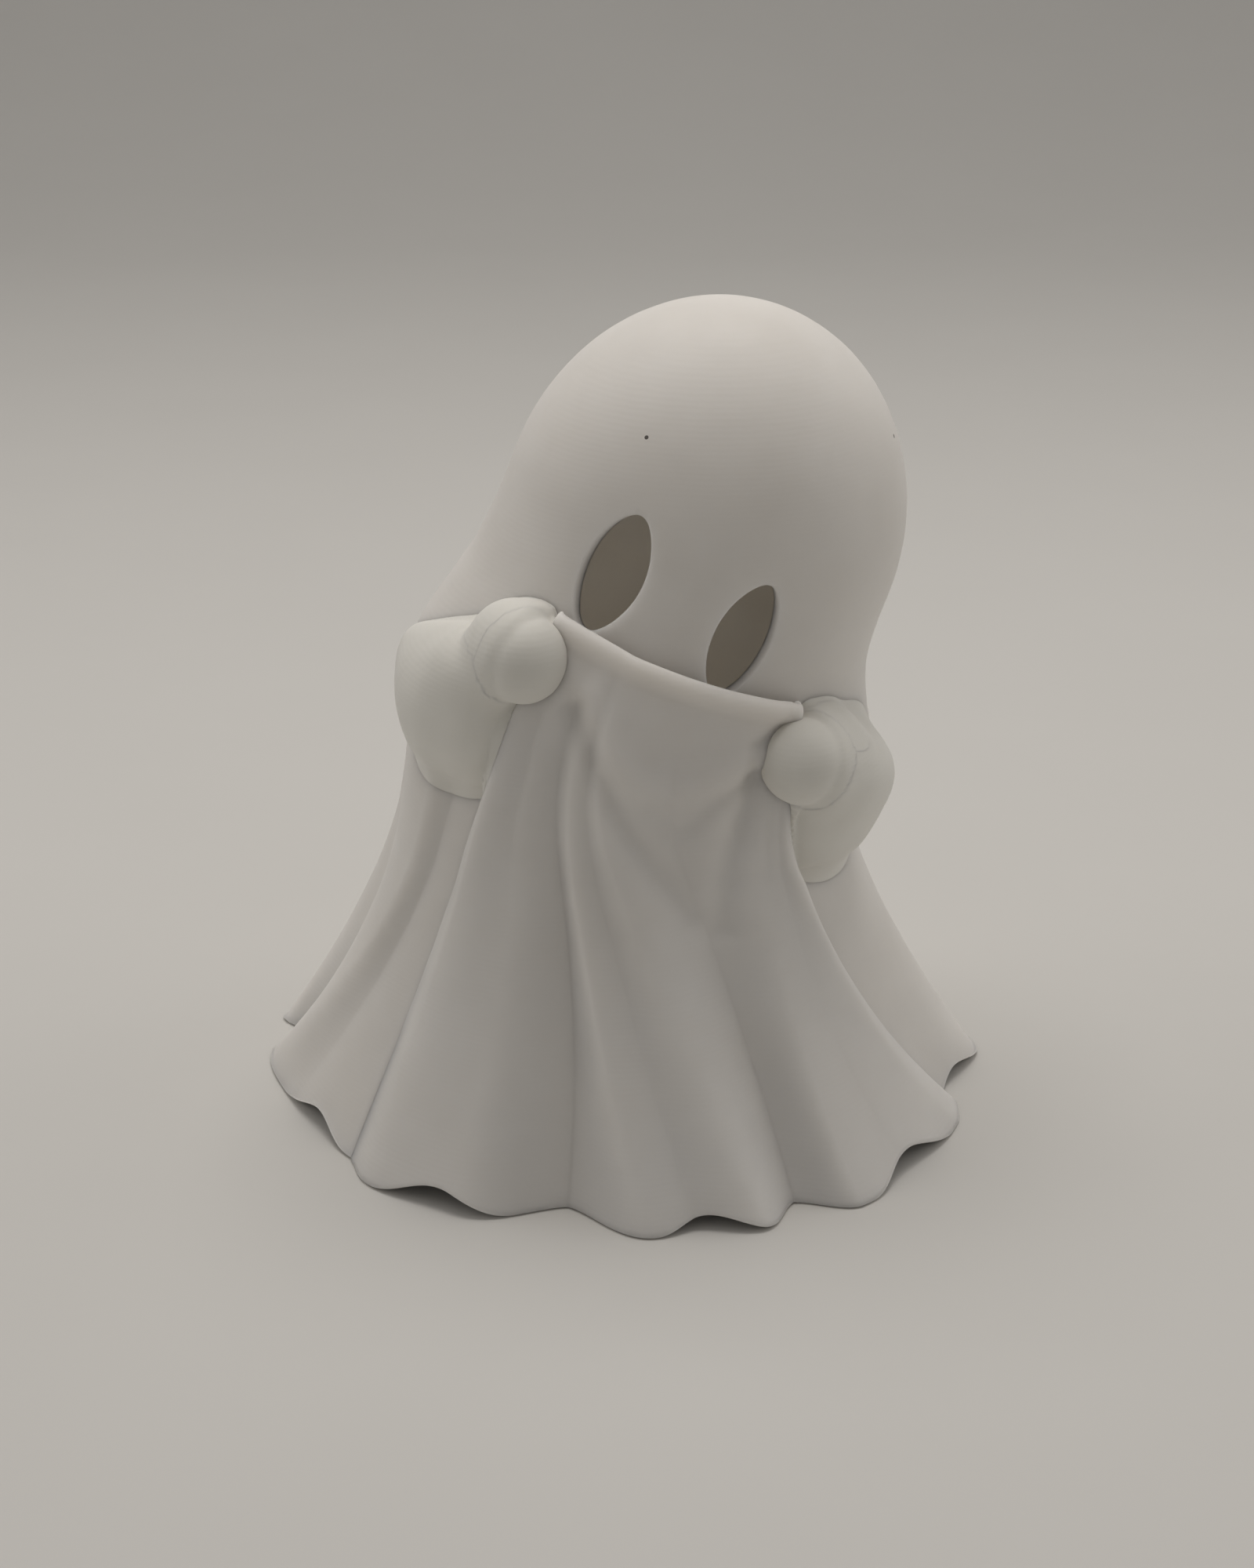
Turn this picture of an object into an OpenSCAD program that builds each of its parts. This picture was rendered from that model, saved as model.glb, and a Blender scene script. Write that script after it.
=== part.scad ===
// Hollow sheet ghost. It stands on its wavy hem, tips its head to one side
// and lifts the front of its sheet to its face with both covered hands.
// Front is -Y and up is +Z. Angles round the body count from the front, to the right.
// Levels count along the spine, up from the floor. A place is [angle, level, radius].

/* [Body] */
// Radius of the gown at the hem, in its deepest fold
hem_r = 38.3; // [36:0.5:42]
// Radius at the waist
waist_r = 27.4; // [26:0.2:29]
// Level of the waist
waist_level = 36; // [32:1:40]
// Radius of the head at its widest
head_r = 24.4; // [23:0.2:26]
// Level of the widest ring of the head
head_level = 76; // [73:0.5:80]
// Rise of the dome above that ring
head_rise = 27.8; // [24:0.2:31]
// Wall of the hollow figure
wall = 1.6; // [1.2:0.1:2.2]
// Height of the shoulders above the body
shoulder_h = 3.4; // [0:0.2:5]
// Reach of a shoulder along the spine
shoulder_l = 6.5; // [5:0.5:8]

/* [Lean] */
// Angle by which the head tips to the right
lean_angle = 20.5; // [10:0.5:24]
// Level where the spine starts to bend
bend_from = 36; // [32:1:42]
// Level where it is straight again
bend_to = 61; // [56:1:66]

/* [Folds] */
// Depth of the folds at the hem
fold_depth = 8; // [5:0.1:9]
// Level where the folds of the gown end
fold_top = 50; // [46:1:54]
// Height of the arches between the places where the hem touches the floor
arch_rise = 2.6; // [1:0.1:4]
// Level where the gown ends behind the lifted cloth
gown_tuck = 5; // [4:0.5:8]

/* [Lifted cloth] */
// Thickness of the lifted cloth
cloth_t = 1.3; // [1:0.1:2]
// How far it stands off the body at its top hem
cloth_stand = 1; // [0.5:0.1:2]
// Level of its top hem, at the left hand
cloth_top = 66.2; // [63:0.2:67]
// Fall of the top hem, from the left hand to the right hand
cloth_fall = 1.6; // [0:0.2:3]
// Thickness of the thin side edges
edge_t = 0.4; // [0.3:0.1:0.8]
// Radius of the rolled top hem
roll_r = 1.2; // [0.9:0.1:1.5]

/* [Eyes] */
// Width of an eye opening
eye_w = 7.4; // [5:0.1:9]
// Height of an eye opening
eye_h = 15; // [10:0.2:16]
// Level of the eyes
eye_level = 71.4; // [70:0.1:75]
// How far the left eye lies above that level, and the right eye below it
eye_shift = 1; // [0:0.1:2]
// Roll of the eye openings
eye_roll = 6; // [0:1:8]
// Angle from the middle of the face to each eye
eye_angle = 20.7; // [17:0.1:25]
// Turn of the face to the left of the front
face_turn = 4.7; // [0:0.1:10]
// Depth of the soft sockets round the eyes
socket_depth = 0.8; // [0:0.1:1.2]

/* [Arms] */
// Half the width of a sleeve, round the body
sleeve_w = 12.6; // [11:0.2:13.4]
// Reach of a sleeve above its fullest level
sleeve_rise = 7.6; // [7:0.5:9]
// Reach of the left sleeve below that level
left_sleeve_l = 8.5; // [8:0.5:11]
// Height of the left sleeve above the body
left_sleeve_h = 6.2; // [5:0.2:8]
// Reach of the right sleeve below that level
right_sleeve_l = 20; // [16:0.5:21]
// Height of the right sleeve above the body
right_sleeve_h = 8.4; // [6:0.2:9]
// Level of the left hand
left_hand_level = 60.8; // [60:0.2:62]
// Level of the right hand
right_hand_level = 60.6; // [59:0.2:61]
// Radius of a thumb
thumb_r = 5.2; // [4.8:0.1:5.8]
// Half the width of the fingers behind the hem
finger_w = 6.6; // [5.4:0.1:7]
// Half the height of the fingers
finger_h = 4.8; // [4.4:0.1:5.2]
// Clearance between pieces that seat on each other
seat = 0.2; // [0.1:0.05:0.3]

/* [Hidden] */

sheet_white = [0.86, 0.85, 0.82];
side_share = 0.04;
bend_r = (bend_to - bend_from) / (lean_angle * PI / 180);

function tip(s) = lean_angle * min(1, max(0, (s - bend_from) / (bend_to - bend_from)));
function spine(s) =
    let (a = tip(s), b = min(s, bend_from), c = max(0, s - bend_to))
    [bend_r * (1 - cos(a)) + c * sin(a), 0, b + bend_r * sin(a) + c * cos(a)];
function place(q) =
    let (a = tip(q[1]), side = q[2] * sin(q[0]))
    spine(q[1]) + [side * cos(a), -q[2] * cos(q[0]), -side * sin(a)];
function mix(a, b, t) = a + (b - a) * t;
function ease(t) = (1 - cos(180 * min(1, max(0, t)))) / 2;

function body_r(s, inset = 0) =
    s < waist_level ? waist_r - inset + (hem_r - waist_r) * pow(1 - s / waist_level, 1.35)
    : s < head_level ? mix(waist_r, head_r, ease((s - waist_level) / (head_level - waist_level))) - inset
    : (head_r - inset) * sqrt(max(0, 1 - pow((s - head_level) / (head_rise - inset), 2)));

// Fold lines: angle at the hem, half way up and at fold_top, then shares of the depth at hem and top
gown_share = [
    [-101, -92, -84, 0.5, -0.03], [-95, -72, -55, 1.07, 0.12], [-76, -61, -46, 0.72, -0.06],
    [-53, -49, -34.5, 0.52, -0.04], [-45, -42, -31, 0.2, -0.05], [-12, -13, -16, -0.3, -0.1],
    [62, 47, 36, 0.1, -0.15], [80, 55, 41, 0.5, -0.12], [96, 89, 83, 1.13, -0.12],
    [114, 112, 110, 0.4, 0], [130, 129, 128, 1.1, 0.1], [146, 145, 144, 0.4, 0],
    [162, 161, 160, 1.06, 0.1], [178, 177, 176, 0.4, 0], [194, 193, 192, 1.05, 0.1],
    [210, 209, 208, 0.4, 0], [225, 223, 222, 1.1, 0.15], [240, 238, 236, 0.45, 0.05],
    [253, 250, 249, 1.25, 0.05], [259, 268, 276, 0.5, -0.03]];
cloth_share = [
    [-53, -49, -34.5, 0.52, -0.04], [-45, -42, -32, 0.66, 0.2], [-28, -27, -26, 0.7, 0.1],
    [-10, -11.5, -19.8, -0.17, -0.1], [4.5, -5.6, -15.5, 0.7, 0.12], [12, 1.3, -13.2, 0.6, 0.03],
    [21, 8.8, -10.2, 0.82, 0.12], [29.5, 23, 6.5, 0.4, 0], [38, 34.7, 34, 0.96, 0.12],
    [50, 41, 36, 0.84, 0.16], [68, 49.2, 38.2, 0.75, 0.26], [80, 55, 41, 0.5, -0.12]];
function line_angle(f, s) =
    let (u = min(1, max(0, s / fold_top)))
    f[0] * (1 - u) * (1 - 2 * u) + f[1] * 4 * u * (1 - u) + f[2] * u * (2 * u - 1);
function line_height(f, s) = fold_depth * mix(f[4], f[3], pow(1 - min(1, max(0, s / fold_top)), 1.4));
function fold_height(table, a, s) =
    let (b = a - 360 * floor((a - line_angle(table[0], s)) / 360),
        k = max([for (i = [0:len(table) - 2]) line_angle(table[i], s) <= b ? i : 0]),
        from = line_angle(table[k], s), to = line_angle(table[k + 1], s))
    mix(line_height(table[k], s), line_height(table[k + 1], s), ease((b - from) / (to - from)));

// Arches of the hem: middle, half width, share of arch_rise
arch_share = [[-67, 13, 0.9], [-31, 13, 1], [15, 10, 0.7], [53, 13, 1], [87, 8, 0.6], [113, 12, 0.8],
    [146, 12, 0.8], [178, 12, 0.8], [210, 12, 0.8], [240, 10, 0.8]];
function arch(a) = arch_rise * max([for (h = arch_share)
    h[2] * ease(1 - abs(a - h[0]) / h[1])]);

// Soft sockets round the eyes
eye_places = [
    [-face_turn - eye_angle, eye_level + eye_shift],
    [-face_turn + eye_angle, eye_level - eye_shift]];
function socket(a, s) = socket_depth * max([for (e = eye_places)
    let (x = (a - e[0]) * PI / 180 * head_r / eye_w, y = (s - e[1]) / eye_h)
    exp(-x * x - 1.6 * y * y)]);

// Shoulders: angle, share of head_level, share of shoulder_h
shoulder_share = [[-82, 0.7, 0.9], [86, 0.76, 1]];
function shoulder(a, s) = shoulder_h * max([for (h = shoulder_share)
    let (b = abs(a) > 180 ? a - 360 * sign(a) : a,
        x = (b - h[0]) / 24, y = (s - h[1] * head_level) / shoulder_l)
    h[2] * exp(-x * x - y * y)]);

// Outer surfaces: the robe, the lifted cloth over it, and the sleeves over both
function fold_end(s) = ease((cloth_top - s) / (cloth_top - fold_top));
function robe_r(a, s) =
    body_r(s) + fold_height(gown_share, a, s) * fold_end(s) + shoulder(a, s) - socket(a, s);
function cloth_edge(v) = mix(edge_t, cloth_t, ease(min(v, 1 - v) * 16));
function cloth_rim(v) = cloth_top - cloth_fall * v;
function cloth_r(a, s, v) = body_r(s) + seat + cloth_edge(v) + fold_height(cloth_share, a, s) * fold_end(s)
    + cloth_stand * ease((s - bend_from) / (cloth_rim(v) - bend_from)) * ease(min(v, 1 - v) * 8);
function cloth_v(a, s) =
    let (m = len(cloth_share) - 1,
        k = max([for (i = [0:m - 1]) line_angle(cloth_share[i], s) <= a ? i : 0]),
        from = line_angle(cloth_share[k], s), to = line_angle(cloth_share[k + 1], s))
    (k + (a - from) / (to - from)) / m;
function cloth_cover(a, s) =
    let (v = cloth_v(a, s), w = side_share + min(v, 1 - v))
    w < 0 || s > cloth_rim(v) + roll_r ? 0
    : cloth_r(a, s, w) + (s > cloth_rim(v) - 3 * roll_r ? roll_r - cloth_t / 2 : 0);

// Sleeves: angle and level of the fullest place, reach below it, height above the body
left_sleeve_at = [-58, left_hand_level - 1.1 * sleeve_rise, left_sleeve_l, left_sleeve_h];
right_sleeve_at = [64, right_hand_level - 0.7 * sleeve_rise, right_sleeve_l, right_sleeve_h];
function sleeve_bump(m, a, s, grow = 0) =
    let (x = (a - m[0]) * PI / 180 * waist_r / (sleeve_w + grow),
        y = (s - m[1]) / ((s > m[1] ? sleeve_rise : m[2]) + grow))
    sqrt(max(0, 1 - x * x - y * y));
function sleeve_base(a, s) = max(robe_r(a, s), cloth_cover(a, s)) + 1.5 * seat;
function sleeve_r(m, a, s, grow = 0) =
    max(sleeve_base(a, s) + edge_t, body_r(s) + m[3] * sleeve_bump(m, a, s, grow));
function sleeve_cover(m, a, s) = sleeve_bump(m, a, s, 2 * edge_t) > 0 ? sleeve_r(m, a, s, 2 * edge_t) : 0;

// Surface through rings of points, closed round each ring, with a flat fan over both ends
module skin(rings) {
    n = len(rings[0]);
    m = len(rings);
    middles = [for (e = [rings[0], rings[m - 1]])
        [for (k = [0:2]) [for (p = e) p[k]] * [for (p = e) 1] / n]];
    polyhedron(
        points = concat([for (r = rings) each r], middles),
        faces = concat(
            [for (i = [0:m - 2], j = [0:n - 1])
                let (a = i * n + j, b = i * n + (j + 1) % n, c = b + n, d = a + n)
                each [[a, c, b], [a, d, c]]],
            [for (j = [0:n - 1]) [m * n, j, (j + 1) % n]],
            [for (j = [0:n - 1]) [m * n + 1, (m - 1) * n + (j + 1) % n, (m - 1) * n + j]]));
}

// Surface through closed thin loops, each an outer run and an inner run of equal length
module sheet(loops) {
    n = len(loops[0]);
    m = len(loops);
    last = (m - 1) * n;
    polyhedron(
        points = [for (p = loops) each p],
        faces = concat(
            [for (i = [0:m - 2], j = [0:n - 1])
                let (a = i * n + j, b = i * n + (j + 1) % n, c = b + n, d = a + n)
                each [[a, b, c], [a, c, d]]],
            [for (j = [0:n / 2 - 2]) each [[j, n - 1 - j, n - 2 - j], [j, n - 2 - j, j + 1]]],
            [for (j = [0:n / 2 - 2]) each [[last + j, last + n - 2 - j, last + n - 1 - j],
                [last + j, last + j + 1, last + n - 2 - j]]]));
}

// Columns run along the fold lines, so that each crest is an edge of the surface
function columns(table, wide, narrow) = [for (k = [0:len(table) - 2])
    let (n = table[k + 1][0] - table[k][0] > 40 ? wide : narrow)
    each [for (j = [0:n - 1]) [k, j / n]]];
function column_angle(table, c, s) = mix(line_angle(table[c[0]], s), line_angle(table[c[0] + 1], s), c[1]);

// Hollow head and gown. In front the gown ends above the hem of the lifted cloth
gown_row_count = 16;
dome_row_count = 8;
wide_fold_count = 9;
narrow_fold_count = 3;
robe_columns = columns(gown_share, wide_fold_count, narrow_fold_count);
gown_steps = [for (i = [0:gown_row_count]) pow(i / gown_row_count, 1.1)];
dome_steps = [for (i = [1:dome_row_count]) sin(86 * i / dome_row_count)];
tuck_angles = [-52, 78];
tuck_turn = 6;
function robe_hem(a) = max(arch(a),
    gown_tuck * ease((a - tuck_angles[0]) / tuck_turn) * ease((tuck_angles[1] - a) / tuck_turn));
function robe_ring(t, inset) = [for (c = robe_columns)
    let (s = mix(robe_hem(column_angle(gown_share, c, 0)), head_level, t),
        a = column_angle(gown_share, c, s))
    place([a, s, robe_r(a, s) - inset])];
function dome_ring(t, inset) = [for (c = robe_columns)
    let (s = head_level + (head_rise - inset) * t, a = column_angle(gown_share, c, s))
    place([a, s, body_r(s, inset) - socket(a, s)])];

module robe_form() {
    skin(concat(
        [for (i = [dome_row_count - 1:-1:0]) dome_ring(dome_steps[i], wall)],
        [for (i = [gown_row_count:-1:0]) robe_ring(gown_steps[i], wall)],
        [for (i = [0:gown_row_count]) robe_ring(gown_steps[i], 0)],
        [for (i = [0:dome_row_count - 1]) dome_ring(dome_steps[i], 0)]));
}

module eye_cut(e) {
    translate(place([e[0], e[1], head_r]))
        rotate([0, tip(e[1]) + eye_roll, 0])
            rotate([90, 0, e[0]])
                translate([0, 0, -head_r / 4])
                    linear_extrude(head_r / 2)
                        polygon([for (i = [0:35])
                            [eye_w / 2 * sin(i * 10) * (1 - 0.1 * cos(i * 20)), eye_h / 2 * cos(i * 10)]]);
}

module robe_shell() {
    color(sheet_white)
        difference() {
            robe_form();
            for (e = eye_places) eye_cut(e);
        }
}

// Lifted cloth: a thin sheet that hangs in hollow folds from a rolled top hem
cloth_row_count = 15;
cloth_fold_count = 4;
cloth_columns = concat(
    columns(cloth_share, cloth_fold_count, cloth_fold_count),
    [[len(cloth_share) - 2, 1]]);
function cloth_loop(i) =
    let (c = cloth_columns[i], v = i / (len(cloth_columns) - 1), h = arch(column_angle(cloth_share, c, 0)),
        rim = cloth_rim(v) - roll_r,
        rows = [for (j = [0:cloth_row_count]) mix(h, rim - roll_r, pow(j / cloth_row_count, 1.15))],
        at = column_angle(cloth_share, c, cloth_top), mid = cloth_r(at, rim, v) - cloth_edge(v) / 2,
        swell = roll_r * ease(min(v, 1 - v) * 16 + 0.2))
    concat(
        [for (s = rows) let (a = column_angle(cloth_share, c, s)) place([a, s, cloth_r(a, s, v)])],
        [for (b = [100:-40:-100]) place([at, rim + roll_r * cos(b), mid + swell * sin(b)])],
        [for (j = [cloth_row_count:-1:0]) let (s = rows[j], a = column_angle(cloth_share, c, s))
            place([a, s, max(robe_r(a, s) + seat, cloth_r(a, s, v) - cloth_edge(v))])]);

module front_cloth() {
    color(sheet_white)
        sheet([for (i = [0:len(cloth_columns) - 1]) cloth_loop(i)]);
}

// Sleeve: a rounded swelling of covered arm that lies on the robe, up to the edge of the cloth
sleeve_shares = [0.15, 0.35, 0.55, 0.72, 0.86, 0.95, 1];
sleeve_points = 30;
function sleeve_ring(m, u, inside) = [for (j = [0:sleeve_points - 1])
    let (f = -360 * j / sleeve_points, s = m[1] + (cos(f) > 0 ? sleeve_rise : m[2]) * u * cos(f),
        a = m[0] + sleeve_w / waist_r * 180 / PI * u * sin(f))
    place([a, s, inside ? sleeve_base(a, s) : sleeve_r(m, a, s)])];

module sleeve(m) {
    last = len(sleeve_shares) - 1;
    skin(concat(
        [for (i = [0:last]) sleeve_ring(m, sleeve_shares[i], true)],
        [for (i = [last:-1:0]) sleeve_ring(m, sleeve_shares[i], false)]));
}

module left_sleeve() {
    color(sheet_white)
        sleeve(left_sleeve_at);
}

module right_sleeve() {
    color(sheet_white)
        sleeve(right_sleeve_at);
}

// Places of the hands and thumbs
left_hand_at = [-40, left_hand_level, head_r + 0.8 * finger_h];
right_hand_at = [48, right_hand_level, head_r + 0.8 * finger_h];
left_thumb_at = [-34, left_hand_level - thumb_r / 6, head_r + thumb_r];
right_thumb_at = [39.5, right_hand_level - thumb_r / 2, head_r + thumb_r];

// Round lobe, grown by a clearance where it cuts another piece
lobe_ring_count = 9;
lobe_points = 20;
module lobe(at, w, h, grow = 0) {
    translate(place(at))
        rotate([0, tip(at[1]), at[0]])
            skin([for (i = [lobe_ring_count:-1:1])
                let (b = 180 * i / (lobe_ring_count + 1), c = (h + grow) * sin(b))
                [for (j = [0:lobe_points - 1])
                    let (f = -360 * j / lobe_points)
                    [(w + grow) * sin(b) * cos(f), (h + grow) * cos(b), c * sin(f)]]]);
}

// What a hand or thumb rests on, as a plate that follows the pieces below
plate_step_count = 18;
function under_r(a, s) = 1.5 * seat + max(robe_r(a, s), cloth_cover(a, s),
    sleeve_cover(left_sleeve_at, a, s), sleeve_cover(right_sleeve_at, a, s));
module under_plate(at) {
    reach = 1.5 * thumb_r;
    turn = reach / head_r * 180 / PI;
    sheet([for (i = [-plate_step_count:2:plate_step_count])
        let (a = at[0] + i / plate_step_count * turn) concat(
        [for (j = [-plate_step_count:2:plate_step_count])
            let (s = at[1] + j / plate_step_count * reach) place([a, s, under_r(a, s)])],
        [for (j = [plate_step_count:-2:-plate_step_count])
            let (s = at[1] + j / plate_step_count * reach) place([a, s, head_r - reach])])]);
}

module hand(at) {
    difference() {
        lobe(at, finger_w, finger_h);
        under_plate(at);
    }
}

module thumb(at, fingers_at) {
    difference() {
        lobe(at, thumb_r, thumb_r);
        under_plate(at);
        lobe(fingers_at, finger_w, finger_h, seat);
    }
}

module left_hand() {
    color(sheet_white)
        hand(left_hand_at);
}

module right_hand() {
    color(sheet_white)
        hand(right_hand_at);
}

module left_thumb() {
    color(sheet_white)
        thumb(left_thumb_at, left_hand_at);
}

module right_thumb() {
    color(sheet_white)
        thumb(right_thumb_at, right_hand_at);
}

robe_shell();
front_cloth();
left_sleeve();
right_sleeve();
left_hand();
right_hand();
left_thumb();
right_thumb();
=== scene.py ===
import bmesh
import bpy
import numpy as np
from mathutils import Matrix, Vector


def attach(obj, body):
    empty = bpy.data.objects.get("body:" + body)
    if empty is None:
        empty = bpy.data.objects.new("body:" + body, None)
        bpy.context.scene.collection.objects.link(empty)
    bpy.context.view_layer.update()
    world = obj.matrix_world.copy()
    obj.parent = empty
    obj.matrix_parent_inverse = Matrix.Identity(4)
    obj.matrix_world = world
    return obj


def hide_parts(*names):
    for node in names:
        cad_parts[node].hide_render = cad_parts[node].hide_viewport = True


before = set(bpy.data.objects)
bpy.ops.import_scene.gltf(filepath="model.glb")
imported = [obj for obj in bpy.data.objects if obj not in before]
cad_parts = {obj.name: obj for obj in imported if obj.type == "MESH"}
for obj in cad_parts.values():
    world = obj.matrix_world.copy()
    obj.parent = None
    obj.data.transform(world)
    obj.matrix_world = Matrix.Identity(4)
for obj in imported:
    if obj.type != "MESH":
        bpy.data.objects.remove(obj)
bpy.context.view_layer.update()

# ---------------------------------------------------------------------------
# Robe shell: the hollow head and gown, printed in one in matte white plastic.
# Its wall is 1.6 mm thick. It stands on its wavy hem, and the head tips to one
# side. Two eye openings are cut right through, and all other pieces lie on it.

# Sizes are in mm and degrees. A level is a distance along the spine from the floor.
MM = 0.001
HEM_R, WAIST_R, HEAD_R = 38.0, 27.4, 24.4
WAIST_LEVEL, HEAD_LEVEL, HEAD_RISE = 36.0, 76.0, 27.6
FLARE_LEVEL, FLARE_POWER = 40.0, 1.55
WALL = 1.6
LEAN, BEND_FROM, BEND_TO = np.radians(20.5), 36.0, 61.0
BEND_R = (BEND_TO - BEND_FROM) / LEAN
FOLD_DEPTH, FOLD_TOP, FOLDS_END = 8.0, 50.0, 66.2
# Fold lines bend freely up to a share of their height and settle over the rest; the
# depth fades upwards by a power; crests are rounder than valleys by a share
LINE_FREE, LINE_SETTLE, FOLD_FADE, CREST_ROUND = 0.8, 0.2, 1.4, 0.3
SHOULDER_H, SHOULDER_L, SHOULDER_TURN = 3.4, 6.5, 24.0
# The gown's hem is tucked up behind the front cloth between two angles
ARCH_RISE, GOWN_TUCK, TUCK_FROM, TUCK_TO, TUCK_SOFT = 2.6, 5.0, -52, 78, 6
ROUND_FROM = -100

# Fold lines: angle at the hem, half way up and at the waist, then the share of
# the fold's depth at the hem and at the top
GOWN_FOLDS = [
    (-101, -92, -84, 0.5, -0.03), (-95, -68, -55, 1.07, 0.12), (-76, -61, -46, 0.72, -0.06),
    (-53, -49, -34.5, 0.52, -0.04), (-45, -42, -31, 0.2, -0.05), (-12, -13, -16, -0.3, -0.1),
    (62, 47, 36, 0.1, -0.15), (80, 55, 41, 0.5, -0.12), (96, 89, 83, 1.13, -0.12),
    (114, 112, 110, 0.4, 0), (130, 129, 128, 1.1, 0.1), (146, 145, 144, 0.4, 0),
    (162, 161, 160, 1.06, 0.1), (178, 177, 176, 0.4, 0), (194, 193, 192, 1.05, 0.1),
    (210, 209, 208, 0.4, 0), (225, 223, 222, 1.1, 0.15), (240, 238, 236, 0.45, 0.05),
    (253, 250, 249, 1.25, 0.05), (259, 268, 276, 0.5, -0.03)]
# Arches of the hem between the places where it touches the floor: middle, half width, share
ARCHES = [(-67, 13, 0.9), (-31, 13, 1), (15, 10, 0.7), (53, 13, 1), (87, 8, 0.6), (113, 12, 0.8),
          (146, 12, 0.8), (178, 12, 0.8), (210, 12, 0.8), (240, 10, 0.8)]
# Shoulders: angle, level, share of the height
SHOULDERS = [(-82, 0.7 * HEAD_LEVEL, 0.9), (86, 0.76 * HEAD_LEVEL, 1)]
# Eye openings: angle and level of the middle, half width, half height
EYES = [(-25.4, 72.3, 3.9, 7.6), (16.0, 70.4, 3.6, 7.2)]
EYE_ROLL = np.radians(6)
# Shallow hollow round each eye: depth, width as a share of the eye's, steepness upwards
SOCKET_DEPTH, SOCKET_WIDE, SOCKET_STEEP = 0.7, 2, 0.4


def mix(a, b, t):
    """Value a share t of the way from a to b."""
    return a + (b - a) * t


def ease(t):
    """Smooth step from 0 to 1 as t goes from 0 to 1."""
    return (1 - np.cos(np.pi * np.clip(t, 0, 1))) / 2


def spine(s):
    """Side shift, height and tilt of the spine: straight, then one bend, then straight."""
    turn = np.clip((s - BEND_FROM) / (BEND_TO - BEND_FROM), 0, 1) * LEAN
    past = np.maximum(0, s - BEND_TO)
    return (BEND_R * (1 - np.cos(turn)) + past * np.sin(turn),
            np.minimum(s, BEND_FROM) + BEND_R * np.sin(turn) + past * np.cos(turn), turn)


def place(a, s, r):
    """Points at angle a round the spine from the front, level s along it and radius r."""
    a, s, r = np.broadcast_arrays(a, s, r)
    x, z, turn = spine(s)
    side = r * np.sin(np.radians(a))
    return np.stack([x + side * np.cos(turn), -r * np.cos(np.radians(a)), z - side * np.sin(turn)], -1)


def body_r(s, inset=0.0):
    """Radius of the plain body, without folds; inset gives the inner face of the dome."""
    s = np.asarray(s, float)
    flare = (HEM_R - WAIST_R) * np.maximum(0, 1 - s / FLARE_LEVEL) ** FLARE_POWER
    low = mix(WAIST_R, HEAD_R, ease((s - WAIST_LEVEL) / (HEAD_LEVEL - WAIST_LEVEL))) + flare - inset
    dome = (HEAD_R - inset) * np.sqrt(np.clip(1 - ((s - HEAD_LEVEL) / (HEAD_RISE - inset)) ** 2, 0, 1))
    return np.where(s < HEAD_LEVEL, low, dome)


def up_share(s):
    """Share of the way up the fold lines, which settle near their top."""
    x = s / FOLD_TOP
    return np.where(x < LINE_FREE, np.maximum(x, 0),
                    LINE_FREE + LINE_SETTLE * np.tanh((x - LINE_FREE) / LINE_SETTLE))


def line_angle(line, s):
    """Angle of a fold line: one curve through its places at hem, half way and waist."""
    u = up_share(s)
    return line[0] * (1 - u) * (1 - 2 * u) + line[1] * 4 * u * (1 - u) + line[2] * u * (2 * u - 1)


def line_height(line, s):
    return FOLD_DEPTH * mix(line[4], line[3], (1 - up_share(s)) ** FOLD_FADE)


def fold_height(folds, a, s):
    """Height of the folds above the plain body, with round crests and closer valleys."""
    a, s = np.broadcast_arrays(np.asarray(a, float), np.asarray(s, float))
    angles = [line_angle(f, s) for f in folds]
    heights = [line_height(f, s) for f in folds]
    b = a - 360 * np.floor((a - angles[0]) / 360) if folds[-1][0] - folds[0][0] == 360 else a
    h = np.where(b < angles[0], heights[0], heights[-1])
    for k in range(len(folds) - 1):
        t = (b - angles[k]) / (angles[k + 1] - angles[k])
        rising = heights[k + 1] > heights[k]
        w = np.clip(np.where(rising, t, 1 - t), 0, 1)
        w = mix(ease(w), np.sin(np.pi / 2 * w), CREST_ROUND)
        low = np.minimum(heights[k], heights[k + 1])
        high = np.maximum(heights[k], heights[k + 1])
        h = np.where((t >= 0) & (t <= 1), mix(low, high, w), h)
    return h * ease((FOLDS_END - s) / (FOLDS_END - FOLD_TOP))


def arch(a):
    """How far the hem arches off the floor at an angle."""
    b = (np.asarray(a, float) - ROUND_FROM) % 360 + ROUND_FROM
    return ARCH_RISE * np.max([h[2] * ease(1 - np.abs(b - h[0]) / h[1]) for h in ARCHES], 0)


def shoulder(a, s):
    """Soft swelling of the robe where an arm pushes it out."""
    b = (np.asarray(a, float) + 180) % 360 - 180
    return SHOULDER_H * np.max([h[2] * np.exp(-((b - h[0]) / SHOULDER_TURN) ** 2
                                              - ((s - h[1]) / SHOULDER_L) ** 2) for h in SHOULDERS], 0)


def socket(a, s):
    """Shallow hollow round each eye."""
    b = (np.asarray(a, float) + 180) % 360 - 180
    return SOCKET_DEPTH * np.max([np.exp(-(np.radians(b - e[0]) * HEAD_R / (SOCKET_WIDE * e[2])) ** 2
                                         - SOCKET_STEEP * ((s - e[1]) / e[3]) ** 2) for e in EYES], 0)


def robe_r(a, s):
    return body_r(s) + fold_height(GOWN_FOLDS, a, s) + shoulder(a, s) - socket(a, s)


def columns(folds, step):
    """Columns that run along the fold lines: number of the line below, share of the way on."""
    out = []
    for k in range(len(folds) - 1):
        wide = max(folds[k + 1][i] - folds[k][i] for i in range(3))
        n = int(np.ceil(wide / step))
        out += [(k, j / n) for j in range(n)]
    return out


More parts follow.
